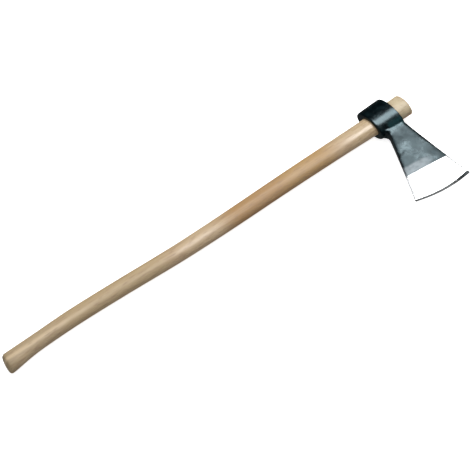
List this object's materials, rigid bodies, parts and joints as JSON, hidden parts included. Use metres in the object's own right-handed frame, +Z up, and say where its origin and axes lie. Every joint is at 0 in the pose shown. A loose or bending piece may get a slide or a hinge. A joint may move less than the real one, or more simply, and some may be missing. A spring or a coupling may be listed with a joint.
{
  "type": "wood axe",
  "caption": "Long-handled wood axe: a forged head with an oval eye and a flared, ground bit, wedged on a curved beech handle.",
  "frame": {"origin": "middle of the bounding box, on the floor that the axe lies on", "axes": "+X along the handle towards the top of the head, -Y towards the cutting edge, +Z up from the floor"},
  "size_m": [0.8988, 0.2234, 0.0412],
  "materials": {
    "head_steel": "glossy blue-black lacquer over hammered steel, with the bit ground and polished bright",
    "handle_wood": "smooth satin beech with fine straight grain",
    "wedge_wood": "sawn hardwood end grain",
    "wedge_steel": "dull steel strip"
  },
  "bodies": {
    "root": {"axe_head": "head_steel", "handle": "handle_wood", "wood_wedge": "wedge_wood", "steel_wedge": "wedge_steel"}
  },
  "joints": []
}
